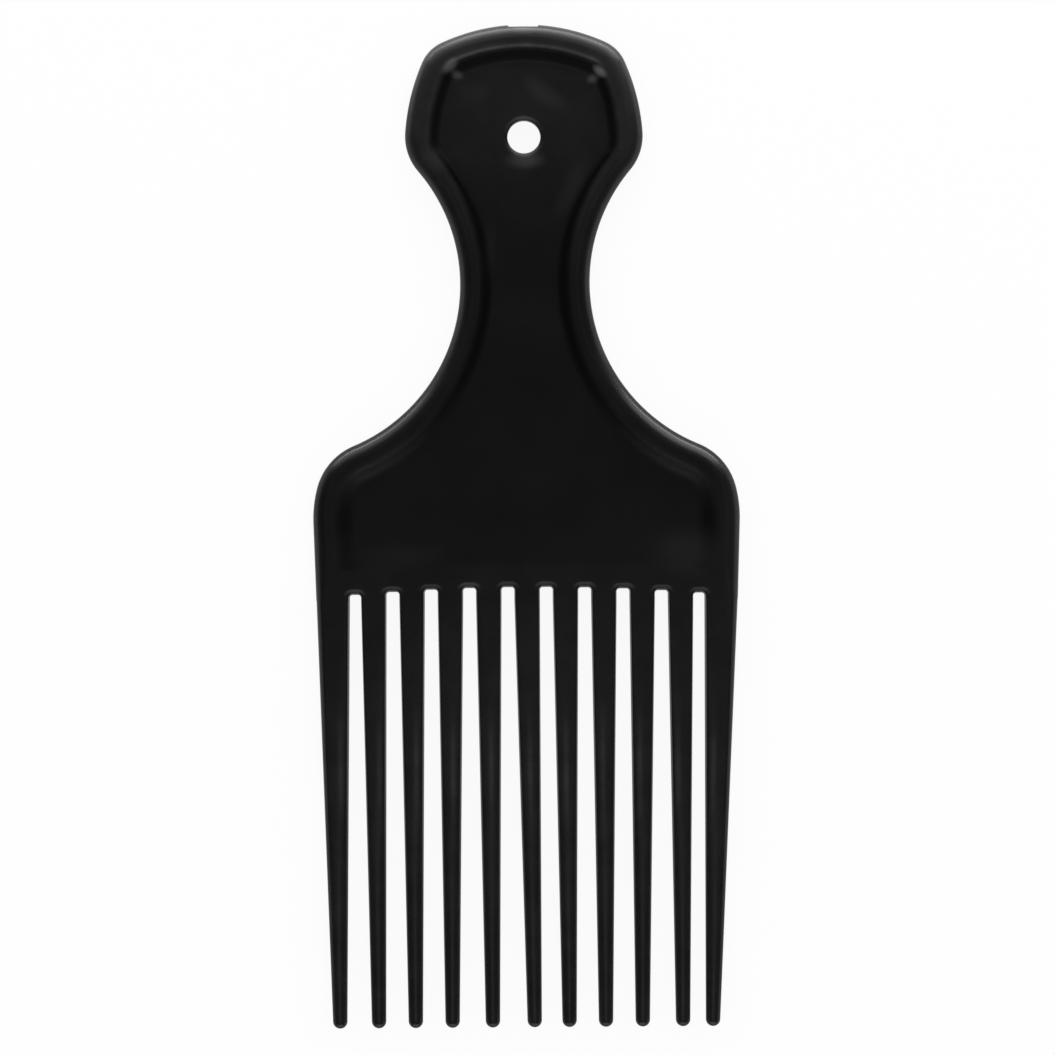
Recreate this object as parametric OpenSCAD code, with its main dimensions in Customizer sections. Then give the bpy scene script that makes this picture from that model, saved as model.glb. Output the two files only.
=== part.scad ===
// Afro pick moulded in one shot of black plastic: a head with a hanging hole, a neck, two shoulders and
// a row of long teeth. It lies on its back, the head towards +Y and the teeth towards -Y. The origin is
// in the middle of the outline, at the height of the back face.

/* [Overall] */
// Length of the handle, from the top of the head to the closed ends of the middle gaps
handle_l = 95.3; // [90:0.1:105]
// Length of the middle gaps, from their closed ends to the tips of the teeth
gap_l = 74.7; // [60:0.1:78]
// Thickness over the rim and the tooth roots
rim_t = 4.4; // [3.8:0.1:5.6]

/* [Head] */
// Width of the head at its widest
head_w = 40.4; // [38:0.5:46]
// Radius of the crown
crown_r = 33.5; // [28:0.2:44]
// Radius of each side of the head
head_side_r = 36.3; // [30:0.2:46]
// Radius of the two upper corners of the head
head_corner_r = 6.6; // [4:0.1:9]
// Radius of the two lower corners of the head
head_lower_r = 9; // [7:0.1:12]
// Distance from the top down to the widest line of the head
head_widest_drop = 20.8; // [18:0.1:24]

/* [Neck] */
// Width of the neck at its narrowest
neck_w = 21.9; // [18:0.1:26]
// Distance from the top down to the narrowest line of the neck
neck_drop = 43.8; // [41:0.1:50]

/* [Body] */
// Width of the body at its widest
body_w = 72.3; // [66:0.1:80]
// Radius of the corner of each shoulder
shoulder_r = 10.6; // [8:0.1:14]
// Radius of the flank below each shoulder corner
flank_r = 20.2; // [16:0.2:30]
// How far the flank turns above its widest point, in degrees
flank_sweep = 15; // [5:1:30]
// Distance from the closed ends of the middle gaps up to the widest line of the body
body_widest_rise = 11.8; // [8:0.1:16]
// Slope of the body's sides towards the teeth, in degrees
side_taper = 1.8; // [0:0.1:3]

/* [Rim] */
// Width of the rounding along the rim of the head and neck
edge_w = 2.2; // [1:0.1:2.8]
// Width of the rounding along the rim of the shoulders
body_edge_w = 1.8; // [1:0.1:2.8]
// Distance from the rim to the lip of the sunk panel at the crown
lip_top = 3.1; // [3:0.1:5]
// Distance from the rim to the lip of the sunk panel at the sides of the head
lip_side = 3.7; // [3:0.1:5]
// Distance from the rim to the lip of the sunk panel along the neck
lip_neck = 3.1; // [3:0.1:5]
// Distance from the rim to the lip of the dished body
lip_body = 3.6; // [3:0.1:6]

/* [Panel] */
// Width of the sloped wall of the panel at the crown
wall_top = 2.6; // [1:0.1:3]
// Width of the sloped wall of the panel at the sides of the head
wall_side = 2.3; // [0.8:0.1:3]
// Width of the sloped wall of the panel along the neck
wall_neck = 2.3; // [0.8:0.1:3]
// Width of the soft slope round the dished body
wall_body = 4.2; // [1:0.1:5]
// Depth of the panel in the head and neck, on each face
panel_d = 1.1; // [0.4:0.1:1.5]
// Depth of the dished body, on each face
dish_d = 0.4; // [0.1:0.05:0.8]

/* [Hanging hole] */
// Diameter of the hanging hole
hole_d = 5.6; // [4:0.1:8]
// Distance from the top down to the middle of the hole
hole_drop = 19; // [14:0.5:24]
// Radius of the rounding round both mouths of the hole
hole_lip_r = 0.45; // [0.2:0.05:0.6]

/* [Gate mark] */
// Width of the flat where the mould's gate was trimmed off
gate_w = 5.2; // [3:0.1:8]
// Depth of that flat
gate_d = 0.35; // [0.1:0.05:0.6]

/* [Teeth] */
// Number of teeth
tooth_count = 11; // [8:1:13]
// How much lower the outermost gaps end than the middle ones
root_arch = 1.15; // [0.2:0.05:3]
// Width of an inner tooth at its root
root_w = 4.34; // [3.6:0.02:4.8]
// Width of an outer tooth at its root
outer_root_w = 5.65; // [5:0.05:7]
// Width of a tooth where its round tip begins
tip_w = 2.45; // [1.8:0.05:3.2]
// Thickness of a tooth where its round tip begins
tip_t = 2.5; // [1.8:0.1:3.5]
// Width over the tips of all the teeth
tip_span = 65.7; // [60:0.1:68]
// Width of the drafted side of a tooth, from its parting line to its face
draft_w = 0.45; // [0.2:0.05:0.8]
// Width of the rounding along the outer side of an outer tooth
outer_edge_w = 1.2; // [0.5:0.1:2]
// Corner radius at the closed end of a gap
gap_corner_r = 0.5; // [0.2:0.05:0.8]
// Width of the rounded lip at the closed end of a gap
gap_lip_w = 0.6; // [0.2:0.05:1]

/* [Hidden] */
function tooth_name(i) = str("tooth_", i < 9 ? "0" : "", i + 1);

// How far a cut runs past what it cuts
overrun = 1;
// Run-out at each end of the gate flat
gate_ramp = 0.15;
// Least radius left at the corners of the panel
panel_corner_r = 0.6;
// Distance over which the panel's depth fades into the dish, down from the narrowest line of the neck
fade_l = 11.5;
// Distance from the outermost gap ends up to the foot of the dish
dish_margin = 4.6;
// Distance over which the dish rises to the tooth roots
dish_ramp = 8;
// Distance from the foot of the dish down to where the tooth roots part
root_band = 0.8;
// Distance from the outermost gap ends down to the seams with the teeth
seam_drop = 1;

// Width of the outermost gap as a share of an inner one
outer_gap_share = 0.87;
// Distance of an outer tooth's tip from the next one, as a share of the distance between inner ones
outer_tip_share = 0.862;
// Sideways lean of each tooth's tip, as shares of the pitch, left to right: no two teeth cool alike
lean_shares = [-0.09, 0.06, 0.02, -0.02, 0.03, 0.12, 0.03, -0.02, -0.06, -0.01, -0.09];
// Places of a tooth's sections along its length, as shares of it, from the seam to the start of the tip
section_shares = [0, 0.1, 0.25, 0.45, 0.7, 1];
// Places across a tooth's flat face, as shares of its width
face_shares = [0.25, 0.5, 0.75];

// How far the rim's rounding sweeps, in degrees, before it meets the flat land at a faint crease
edge_sweep = 78;
// Steps round that sweep, across the panel's wall and round a gap's corner
edge_steps = 3;
wall_steps = 4;
corner_steps = 3;
// Steps along the arcs of half the outline, from the crown down to the seam
crown_steps = 8;
head_corner_steps = 6;
head_side_steps = 8;
head_lower_steps = 6;
neck_steps = 18;
shoulder_steps = 8;
flank_steps = 3;
dish_side_steps = 5;
// Angles of a tooth's end sections round its tip
tip_angles = [30, 55, 75];
// Sides of the circles of the hole
hole_fn = 64;

half_t = rim_t / 2;
overall_l = handle_l + gap_l;
top_y = overall_l / 2;
tip_y = -overall_l / 2;
gap_y = tip_y + gap_l;
seam_y = gap_y - root_arch - seam_drop;
dish_end_y = gap_y - root_arch + dish_margin;
// Heights of the last three places on each side: where the roots part, where a gap's corner starts and
// where the seam is
root_side_ys = [dish_end_y - root_band, gap_y - root_arch - gap_corner_r, seam_y];
neck_y = top_y - neck_drop;

// Heights above the middle plane, and roundings, at each step round the rim, all as shares
rise_shares = [for (k = [0 : edge_steps]) sin(edge_sweep * k / edge_steps) / sin(edge_sweep)];
round_shares = [for (k = [0 : edge_steps]) (1 - cos(edge_sweep * k / edge_steps)) / (1 - cos(edge_sweep))];

function mix(a, b, u) = a + (b - a) * u;
function clamp(u) = min(max(u, 0), 1);
function ease(u) = let (v = clamp(u)) v * v * (3 - 2 * v);
function polar(c, r, a) = c + r * [cos(a), sin(a)];
function heading(a, b) = atan2(b[1] - a[1], b[0] - a[0]);

// Where two circles cross: side 1 is left of the way from the first centre to the second, and side -1 right
function crossing(c1, r1, c2, r2, side) =
    let (
        d = norm(c2 - c1),
        e = (c2 - c1) / d,
        k = (r1 * r1 - r2 * r2 + d * d) / (2 * d),
        h = sqrt(r1 * r1 - k * k)
    ) c1 + k * e + side * h * [-e[1], e[0]];

// Half the outline, as a chain of tangent arcs, drawn in by an inset for each stretch of the rim:
// [crown, side of the head, neck, body, tooth root]
crown_c = [0, top_y - sqrt(crown_r * crown_r - gate_w * gate_w / 4)];
side_c = [head_w / 2 - head_side_r, top_y - head_widest_drop];
flank_c = [body_w / 2 - flank_r, gap_y + body_widest_rise];
corner_at = polar(flank_c, flank_r - shoulder_r, flank_sweep);
neck_reach = corner_at[0] - neck_w / 2;
neck_fall = neck_y - corner_at[1];
neck_r = (neck_reach * neck_reach + neck_fall * neck_fall - shoulder_r * shoulder_r)
    / (2 * (shoulder_r + neck_reach));
neck_c = [neck_w / 2 + neck_r, neck_y];
gate_a = asin(gate_w / 2 / crown_r);
gate_in_a = asin((gate_w / 2 - gate_ramp) / crown_r);

function arc_points(c, r, a, b, steps) = [for (s = [1 : steps]) polar(c, r, mix(a, b, s / steps))];

function neck_points(insets, a, b) =
    [for (s = [1 : neck_steps])
        let (u = s / neck_steps)
        polar(neck_c, neck_r + mix(insets[2], insets[3], ease(2 * u - 1)), mix(a, b, u))];

function side_points(from, inset, root_inset) =
    let (dish_side_ys = [for (s = [1 : dish_side_steps]) mix(from[1], dish_end_y, s / dish_side_steps)])
    [for (y = concat(dish_side_ys, root_side_ys))
        [from[0] - (from[1] - y) * tan(side_taper)
            + (inset - root_inset) * clamp((dish_end_y - y) / (dish_end_y - seam_y)), y]];

function half_outline(insets) =
    let (
        crown = crown_r - insets[0],
        side = head_side_r - insets[1],
        corner = max(head_corner_r - (insets[0] + insets[1]) / 2, panel_corner_r),
        lower = max(head_lower_r - (insets[1] + insets[2]) / 2, panel_corner_r),
        shoulder = max(shoulder_r - insets[3], panel_corner_r),
        flank = flank_r - insets[3],
        corner_c = crossing(crown_c, crown - corner, side_c, side - corner, -1),
        lower_c = crossing(side_c, side - lower, neck_c, neck_r + insets[2] + lower, 1),
        shoulder_c = crossing(neck_c, neck_r + insets[3] + shoulder, flank_c, flank - shoulder, 1),
        corner_a = heading(crown_c, corner_c),
        side_a = heading(side_c, corner_c),
        lower_a = heading(side_c, lower_c),
        neck_a = heading(lower_c, neck_c) + 180,
        shoulder_a = heading(shoulder_c, neck_c),
        flank_a = heading(flank_c, shoulder_c)
    ) concat(
        [for (a = [0, gate_in_a, gate_a]) polar(crown_c, crown, 90 - a)],
        arc_points(crown_c, crown, 90 - gate_a, corner_a, crown_steps),
        arc_points(corner_c, corner, corner_a, side_a, head_corner_steps),
        arc_points(side_c, side, side_a, lower_a, head_side_steps),
        arc_points(lower_c, lower, lower_a, neck_a - 180, head_lower_steps),
        neck_points(insets, neck_a, shoulder_a + 180),
        arc_points(shoulder_c, shoulder, shoulder_a, flank_a, shoulder_steps),
        arc_points(flank_c, flank, flank_a, -side_taper, flank_steps),
        side_points(polar(flank_c, flank, -side_taper), insets[3], insets[4])
    );

// Places of half the outline that end the dish and the whole, counted from the middle of the crown
dish_place = 2 + crown_steps + head_corner_steps + head_side_steps + head_lower_steps + neck_steps
    + shoulder_steps + flank_steps + dish_side_steps;
seam_place = dish_place + len(root_side_ys);

// The teeth share the width of the body at the seam
seam_half_w = half_outline([0, 0, 0, 0, 0])[seam_place][0];
inner_teeth_w = (tooth_count - 2) * root_w;
gap_w = (2 * seam_half_w - 2 * outer_root_w - inner_teeth_w) / (tooth_count - 3 + 2 * outer_gap_share);
pitch = root_w + gap_w;
last = tooth_count - 1;
tip_pitch = (tip_span - tip_w) / (last - 2 + 2 * outer_tip_share);

function is_outer(i) = i == 0 || i == last;
function root_left(i) =
    i == 0 ? -seam_half_w
    : i == last ? seam_half_w - outer_root_w
    : (i - last / 2) * pitch - root_w / 2;
function root_right(i) = -root_left(last - i);

// One gap's outline, drawn in at a step round the rim: up its right side, round its end and down
gap_places = 2 * corner_steps + 4;
function gap_r(g) = min(gap_corner_r, (root_left(g + 1) - root_right(g)) / 2 - gap_corner_r / 2);
function gap_outline(g, k) =
    let (
        left = root_right(g),
        right = root_left(g + 1),
        place = (left + right) / (root_left(last) + root_right(last - 1)),
        end_y = gap_y - root_arch * place * place,
        r = gap_r(g),
        draft = draft_w * rise_shares[k],
        lip = gap_lip_w * round_shares[k],
        corner = [for (s = [0 : corner_steps])
            [(r + draft) * cos(90 * s / corner_steps), end_y - r + (r + lip) * sin(90 * s / corner_steps)]]
    ) concat(
        [[right + draft, seam_y]],
        [for (p = corner) [right - r + p[0], p[1]]],
        [for (p = reversed(corner)) [left + r - p[0], p[1]]],
        [[left - draft, seam_y]]
    );

// The gate's flat cuts only the outer rim
function trimmed(p) = abs(p[0]) < gate_w / 2 - gate_ramp / 2 ? [p[0], min(p[1], top_y - gate_d)] : p;
function mirrored(p) = [-p[0], p[1]];
function reversed(list) = [for (i = [len(list) - 1 : -1 : 0]) list[i]];
function flat(lists) = [for (l = lists) each l];

// The whole contour at a step round the rim, clockwise from the middle of the crown
function contour(k) =
    let (
        w = round_shares[k],
        half = [for (p = half_outline([edge_w, edge_w, edge_w, body_edge_w, outer_edge_w] * w)) trimmed(p)]
    ) concat(
        half,
        flat([for (g = [last - 1 : -1 : 0]) gap_outline(g, k)]),
        [for (i = [len(half) - 1 : -1 : 1]) mirrored(half[i])]
    );

// Depth of the panel and the dish below the rim's land
function depth(y) =
    mix(dish_d, panel_d, ease((y - neck_y + fade_l) / fade_l)) * ease((y - dish_end_y) / dish_ramp);

// One ring of the panel's wall, from the left foot of the dish over the crown to the right foot
function wall_ring(j) =
    let (
        u = j / wall_steps,
        half = half_outline([lip_top + wall_top * u, lip_side + wall_side * u, lip_neck + wall_neck * u,
                             lip_body + wall_body * u, lip_body + wall_body * u]),
        ring = [for (c = [-dish_place : dish_place]) c < 0 ? mirrored(half[-c]) : half[c]]
    ) [for (p = ring) [p[0], p[1], half_t - depth(p[1]) * ease(u)]];

// Points between the dish and the gaps, two over each gap, where its corners end
root_row = flat([for (g = [0 : last - 1])
    [[root_right(g) + gap_r(g), root_side_ys[0], half_t],
     [root_left(g + 1) - gap_r(g), root_side_ys[0], half_t]]]);

function quad(a, b, c, d) = [[a, b, c], [a, c, d]];
function at_height(points, z) = [for (p = points) [p[0], p[1], z]];

// Triangles between two rows that run side by side, each row a list of [place, x]
function between(top, low, i = 0, j = 0) =
    i == len(top) - 1 && j == len(low) - 1 ? []
    : j == len(low) - 1 || (i < len(top) - 1 && top[i + 1][1] <= low[j + 1][1])
        ? concat([[top[i][0], top[i + 1][0], low[j][0]]], between(top, low, i + 1, j))
        : concat([[top[i][0], low[j + 1][0], low[j][0]]], between(top, low, i, j + 1));

// Triangles of one face: land, wall, floor and tooth roots. The places of its points start at edge in the
// last contour, at wall in the rings of the wall and at row in the row over the gaps.
function face_of(edge, wall, row, around, points) =
    let (
        width = 2 * dish_place + 1,
        place = function (j, c) j >= 0 ? wall + j * width + c : edge + (c - dish_place + around) % around,
        right_place = function (i) edge + i,
        left_place = function (i) edge + around - i,
        gap_place = function (g, i) edge + seam_place + 1 + (last - 1 - g) * gap_places + i,
        strips = flat([for (j = [-1 : wall_steps - 1], c = [0 : width - 2])
            quad(place(j, c), place(j, c + 1), place(j + 1, c + 1), place(j + 1, c))]),
        floor_rungs = flat([for (c = [0 : dish_place - 2])
            quad(place(wall_steps, c), place(wall_steps, c + 1),
                 place(wall_steps, width - 2 - c), place(wall_steps, width - 1 - c))]),
        floor_top = [[for (c = [-1 : 1]) place(wall_steps, dish_place + c)]],
        dish_end = concat([for (j = [-1 : wall_steps]) place(j, 0)],
                          [for (j = [wall_steps : -1 : -1]) place(j, width - 1)]),
        row_places = concat([left_place(dish_place + 1)], [for (i = [0 : len(root_row) - 1]) row + i],
                            [right_place(dish_place + 1)]),
        band = between([for (i = dish_end) [i, points[i][0]]], [for (i = row_places) [i, points[i][0]]]),
        gap_ends = flat([for (g = [0 : last - 1])
            let (over_left = row + 2 * g, over_right = over_left + 1) concat(
                quad(over_left, over_right, gap_place(g, corner_steps + 1), gap_place(g, corner_steps + 2)),
                [for (s = [1 : corner_steps]) [over_right, gap_place(g, s), gap_place(g, s + 1)]],
                [for (s = [1 : corner_steps])
                    [over_left, gap_place(g, corner_steps + 1 + s), gap_place(g, corner_steps + 2 + s)]])]),
        stubs = flat([for (i = [0 : last])
            let (
                left = i == 0 ? [for (d = [1 : 3]) left_place(dish_place + d)]
                    : [row + 2 * i - 1, gap_place(i - 1, 1), gap_place(i - 1, 0)],
                right = i == last ? [for (d = [1 : 3]) right_place(dish_place + d)]
                    : [row + 2 * i, gap_place(i, gap_places - 2), gap_place(i, gap_places - 1)]
            ) concat(quad(left[0], right[0], right[1], left[1]),
                     quad(left[1], right[1], right[2], left[2]))])
    ) concat(strips, floor_rungs, floor_top, band, gap_ends, stubs);

// The moulding down to the seams, skinned from contour to contour round the rim and closed by its two faces
module moulding() {
    contours = [for (k = [0 : edge_steps]) contour(k)];
    around = len(contours[0]);
    rim = flat([for (k = [-edge_steps : edge_steps])
        at_height(contours[abs(k)], sign(k) * half_t * rise_shares[abs(k)])]);
    front = concat(flat([for (j = [0 : wall_steps]) wall_ring(j)]), root_row);
    back = [for (p = front) [p[0], p[1], -p[2]]];
    points = concat(rim, front, back);
    front_start = len(rim);
    back_start = len(rim) + len(front);
    row = len(front) - len(root_row);

    rim_faces = flat([for (k = [0 : 2 * edge_steps - 1], i = [0 : around - 1])
        let (a = k * around, n = (i + 1) % around) quad(a + i, a + n, a + around + n, a + around + i)]);
    front_faces = face_of(2 * edge_steps * around, front_start, front_start + row, around, points);
    back_faces = [for (f = face_of(0, back_start, back_start + row, around, points)) reversed(f)];
    translate([0, 0, half_t]) polyhedron(points, concat(rim_faces, front_faces, back_faces), convexity = 8);
}

// Cuts the hanging hole with a rounded mouth on each face of the panel
module hole_cut() {
    r = hole_d / 2;
    web = rim_t - 2 * panel_d;
    translate([0, top_y - hole_drop, half_t])
        rotate_extrude($fn = hole_fn)
            difference() {
                translate([0, -half_t - overrun]) square([r + hole_lip_r, rim_t + 2 * overrun]);
                translate([r, hole_lip_r - web / 2])
                    square([hole_lip_r + overrun, web - 2 * hole_lip_r]);
                for (s = [-1, 1])
                    translate([r + hole_lip_r, s * (web / 2 - hole_lip_r)])
                        circle(hole_lip_r, $fn = hole_fn);
            }
}

module handle() {
    color("#17171a")
        difference() {
            moulding();
            hole_cut();
        }
}

// One side of a tooth's section, from the parting line to its face: [inset, height] at each step
function side_shape(outer, k, w, h) =
    outer ? [outer_edge_w * round_shares[k] * w / outer_root_w, h * rise_shares[k]]
    : [draft_w * rise_shares[k] * w / root_w, h * rise_shares[k]];

// A tooth's section between two sides, flat-faced at the root and turning oval towards the tip. It runs
// over the front face from right to left and back under it.
function section(i, left, right, h, y, oval) =
    let (
        w = right - left,
        right_side = [for (k = [0 : edge_steps]) side_shape(i == last, k, w, h)],
        left_side = [for (k = [0 : edge_steps]) side_shape(i == 0, k, w, h)],
        face_right = right - right_side[edge_steps][0],
        face_left = left + left_side[edge_steps][0],
        over = concat(
            [for (s = right_side) [right - s[0], s[1]]],
            [for (u = face_shares) [mix(face_right, face_left, u), h]],
            [for (k = [edge_steps : -1 : 0]) [left + left_side[k][0], left_side[k][1]]]
        ),
        turns = len(over) - 1,
        round_over = [for (s = [0 : turns])
            [(left + right) / 2 + w / 2 * cos(180 * s / turns), h * sin(180 * s / turns)]],
        blend = [for (s = [0 : turns]) mix(over[s], round_over[s], oval)]
    ) concat(
        [for (p = blend) [p[0], y, half_t + p[1]]],
        [for (s = [turns - 1 : -1 : 1]) [blend[s][0], y, half_t - blend[s][1]]]
    );

module tooth(i) {
    start_y = tip_y + tip_w / 2;
    lean = lean_shares[i % len(lean_shares)] * tip_pitch;
    tip_left = lean - tip_w / 2
        + (is_outer(i) ? sign(i - last / 2) * (tip_span - tip_w) / 2 : (i - last / 2) * tip_pitch);
    shank = [for (u = section_shares)
        section(i, mix(root_left(i), tip_left, u), mix(root_right(i), tip_left + tip_w, u),
                mix(rim_t, tip_t, u) / 2, mix(seam_y, start_y, u), ease(u))];
    tip = [for (a = tip_angles)
        let (m = tip_left + tip_w / 2)
        section(i, m - tip_w / 2 * cos(a), m + tip_w / 2 * cos(a),
                tip_t / 2 * cos(a), start_y - tip_w / 2 * sin(a), 1)];
    end = [[tip_left + tip_w / 2, tip_y, half_t]];
    sections = concat(shank, tip);
    around = len(sections[0]);
    count = len(sections);
    points = concat(flat(sections), end);
    sides = flat([for (s = [0 : count - 2], j = [0 : around - 1])
        let (a = s * around, n = (j + 1) % around) quad(a + j, a + around + j, a + around + n, a + n)]);
    root_face = [[for (j = [0 : around - 1]) j]];
    tip_faces = [for (j = [0 : around - 1])
        [(count - 1) * around + j, count * around, (count - 1) * around + (j + 1) % around]];
    color("#17171a") polyhedron(points, concat(root_face, sides, tip_faces), convexity = 4);
}

handle();
for (i = [0 : last])
    tooth(i);
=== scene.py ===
"""Afro pick moulded in one shot of satin black plastic, seen from straight above on a white floor."""
import math

import bmesh
import bpy
import numpy as np
from mathutils import Matrix, Vector
from mathutils.geometry import delaunay_2d_cdt


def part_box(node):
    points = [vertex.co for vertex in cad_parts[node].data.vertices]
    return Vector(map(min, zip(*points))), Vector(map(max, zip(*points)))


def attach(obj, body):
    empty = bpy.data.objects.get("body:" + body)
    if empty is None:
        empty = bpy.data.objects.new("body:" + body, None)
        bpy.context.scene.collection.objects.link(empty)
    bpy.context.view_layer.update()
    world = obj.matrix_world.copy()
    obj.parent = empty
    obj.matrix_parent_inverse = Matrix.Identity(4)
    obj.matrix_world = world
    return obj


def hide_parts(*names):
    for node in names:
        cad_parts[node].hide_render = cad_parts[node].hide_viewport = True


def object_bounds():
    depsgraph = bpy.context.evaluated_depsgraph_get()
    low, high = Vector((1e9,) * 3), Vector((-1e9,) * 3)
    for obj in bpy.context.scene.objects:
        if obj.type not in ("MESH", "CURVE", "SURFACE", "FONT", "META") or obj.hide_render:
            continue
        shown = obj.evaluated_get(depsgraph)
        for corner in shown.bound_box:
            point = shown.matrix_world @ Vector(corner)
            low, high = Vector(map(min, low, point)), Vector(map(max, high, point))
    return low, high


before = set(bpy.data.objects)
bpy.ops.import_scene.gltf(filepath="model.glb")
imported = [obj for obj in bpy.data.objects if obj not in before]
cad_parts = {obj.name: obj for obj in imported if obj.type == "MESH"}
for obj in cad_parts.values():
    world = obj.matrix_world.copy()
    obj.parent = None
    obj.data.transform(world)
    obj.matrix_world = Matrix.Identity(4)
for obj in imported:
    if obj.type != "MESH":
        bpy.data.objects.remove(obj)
cad_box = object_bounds()

# Lengths below are in millimetres, angles in degrees
MM = 0.001
TEETH = sum(name.startswith("tooth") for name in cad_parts)
LAST = TEETH - 1

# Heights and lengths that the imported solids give
handle_low, handle_high = (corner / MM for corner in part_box("handle"))
HALF_T = (handle_high.z - handle_low.z) / 2
TOP_Y = handle_high.y
SEAM_Y = handle_low.y
TIP_Y = cad_box[0].y / MM

# Head
HEAD_W = 40.4
CROWN_R = 33.5
HEAD_SIDE_R = 36.3
HEAD_CORNER_R = 6.6
HEAD_LOWER_R = 9
HEAD_WIDEST_DROP = 20.8

# Neck and body
NECK_W = 21.9
NECK_DROP = 43.8
BODY_W = 72.3
SHOULDER_R = 10.6
FLANK_R = 20.2
FLANK_SWEEP = 15
BODY_WIDEST_RISE = 11.8
SIDE_TAPER = 1.8

# Rim, and the lip and wall of the panel
EDGE_W = 2.2
BODY_EDGE_W = 2.2
EDGE_SWEEP = 78
LIP_TOP = 3.15
LIP_SIDE = 3.5
LIP_NECK = 3.0
LIP_BODY = 3.2
WALL_TOP = 3.5
WALL_SIDE = 2.6
WALL_NECK = 2.7
WALL_BODY = 3.8
PANEL_D = 1.1
DISH_D = 0.5
PANEL_CORNER_R = 1.1
FADE_L = 11.5
DISH_MARGIN = 4.6
DISH_RAMP = 9
SUPPORT_W = 0.12
SHOULDER_H = 0.03
SHOULDER_W = 0.3
GAP_SHOULDER_H = 0.12
GAP_SHOULDER_W = 0.75
SHOULDER_ROWS = 4

# Shares of the wall's width that its lip and its foot take, at the crown, the head's sides, the neck and
# the body
LIP_SHARES = [0.3, 0.5, 0.42, 0.36]
FOOT_SHARES = [0.12, 0.3, 0.42, 0.5]

# Hanging hole, with the slight swelling of the web round it
HOLE_D = 5.6
HOLE_DROP = 19
HOLE_LIP_R = 0.45
SWELL_H = 0.05
SWELL_W = 2.4

# Gate mark and the parting line's fine ridge
GATE_W = 5.2
GATE_D = 0.35
GATE_RAMP = 0.15
PARTING_H = 0.04
PARTING_W = 0.07

# Teeth. The face angle is where a section's flat face begins once the section has turned oval.
GAP_L = 74.7
ROOT_ARCH = 1.15
ROOT_W = 4.34
OUTER_ROOT_W = 5.65
TIP_W = 2.45
TIP_T = 2.5
TIP_SPAN = 65.7
DRAFT_W = 0.2
FACE_CORNER_R = 0.25
FACE_ANGLE = 54
OUTER_EDGE_W = 1.2
GAP_CORNER_R = 0.5
GAP_LIP_W = 0.35
OUTER_GAP_SHARE = 0.87
OUTER_TIP_SHARE = 0.862
LEAN_SHARES = [-0.09, 0.06, 0.02, -0.02, 0.03, 0.12, 0.03, -0.02, -0.06, -0.01, -0.09]

# Plastic: its colour, its gloss, the strength and height of its grain, and its roughness at the body and the
# head, which changes between two heights measured from the hole and varies slowly
BASE = (0.0028, 0.0028, 0.0031)
SHEEN = 0.5
IOR = 1.5
GRAIN = 0.35
GRAIN_H = 0.04
ROUGH_BODY = 0.25
ROUGH_HEAD = 0.29
ROUGH_START = -14
ROUGH_END = 2
ROUGH_FLOW = 0.02

# Noises: scale per metre, detail and roughness, the range of them that counts, and what the cloud multiplies
# the painted light by
FLOW_NOISE = (90, 2, 0.5)
CLOUD_NOISE = (160, 3, 0.6)
GRAIN_NOISE = (3200, 2, 0.6)
NOISE_LOW = 0.3
NOISE_HIGH = 0.7
CLOUD_LOW = 0.7
CLOUD_HIGH = 1.3

# Oval patches: middle, half width, half height, turn, added roughness and added grey. Each fades out between
# two shares of its size. The grey of the four at the panel's upper corners and of the one on the lower left
# of the head is painted highlight; the others make the surface lighter in patches.
BLOT_CORE = 0.1
BLOT_EDGE = 1.1
BLOTS = [
    (0.2, 62.1, 3.9, 1.9, 0, 0.25, 0.016),
    (3.6, 73.2, 5.6, 2.2, -38, 0.1, 0.0045),
    (0.1, 84.2, 2.6, 1.2, 0, 0, 0.025),
    # Painted highlights at the panel's upper corners, on its lip and its foot
    (-12.4, 78.0, 2.0, 1.1, 42, 0, 0.05),
    (-11.2, 76.5, 1.3, 1.0, -20, 0, 0.03),
    (12.9, 76.9, 1.7, 0.9, -42, 0, 0.08),
    (11.7, 75.7, 1.3, 1.0, 20, 0, 0.03),
    # Lighter patches
    (17.3, 67.0, 2.6, 10.0, 3, 0, 0.003),
    (34.6, -2.0, 2.0, 20.0, 0, 0, 0.003),
    # A painted highlight on the lower left of the head
    (-15.4, 62.0, 3.6, 2.6, -50, 0, 0.007),
    # Lighter patches
    (-7.8, 73.4, 3.4, 2.4, 0, 0, 0.003),
    (8.0, 57.4, 7.5, 2.1, 64, 0, 0.004),
    (-5.8, 47.0, 1.4, 6.5, 0, 0, 0.0025),
    (26.7, -4.4, 7.5, 5.0, 0, 0, 0.005),
    (-20.5, -4.9, 10.0, 2.6, 0, 0, 0.0025),
]

# Floor: its grey, the share of plain white that the camera sees, and the painted light it glows with for
# reflections near, far and towards the key, each with the distances between which it changes
FLOOR_HALF = 3000
FLOOR_GREY = 0.85
FLOOR_WHITE = 0.92
FLOOR_NEAR = 0.4
FLOOR_FAR = 0.15
FLOOR_NEAR_END = 50
FLOOR_FAR_START = 250
FLOOR_KEY = 1.0
FLOOR_KEY_START = 60
FLOOR_KEY_FULL = 90

# Room: its greys from the horizon to the zenith as reflections see them, how much they grow from left to
# right, and the plain grey that lights the matt part of the surfaces
ROOM = [(0.0, 0.8), (0.08, 0.6), (0.14, 0.03), (0.84, 0.03), (0.9, 0.1), (0.955, 0.1), (0.985, 0.04)]
ROOM_SIDE = 0.15
ROOM_SIDE_REACH = 0.9
ROOM_DIFFUSE = 0.75

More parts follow.
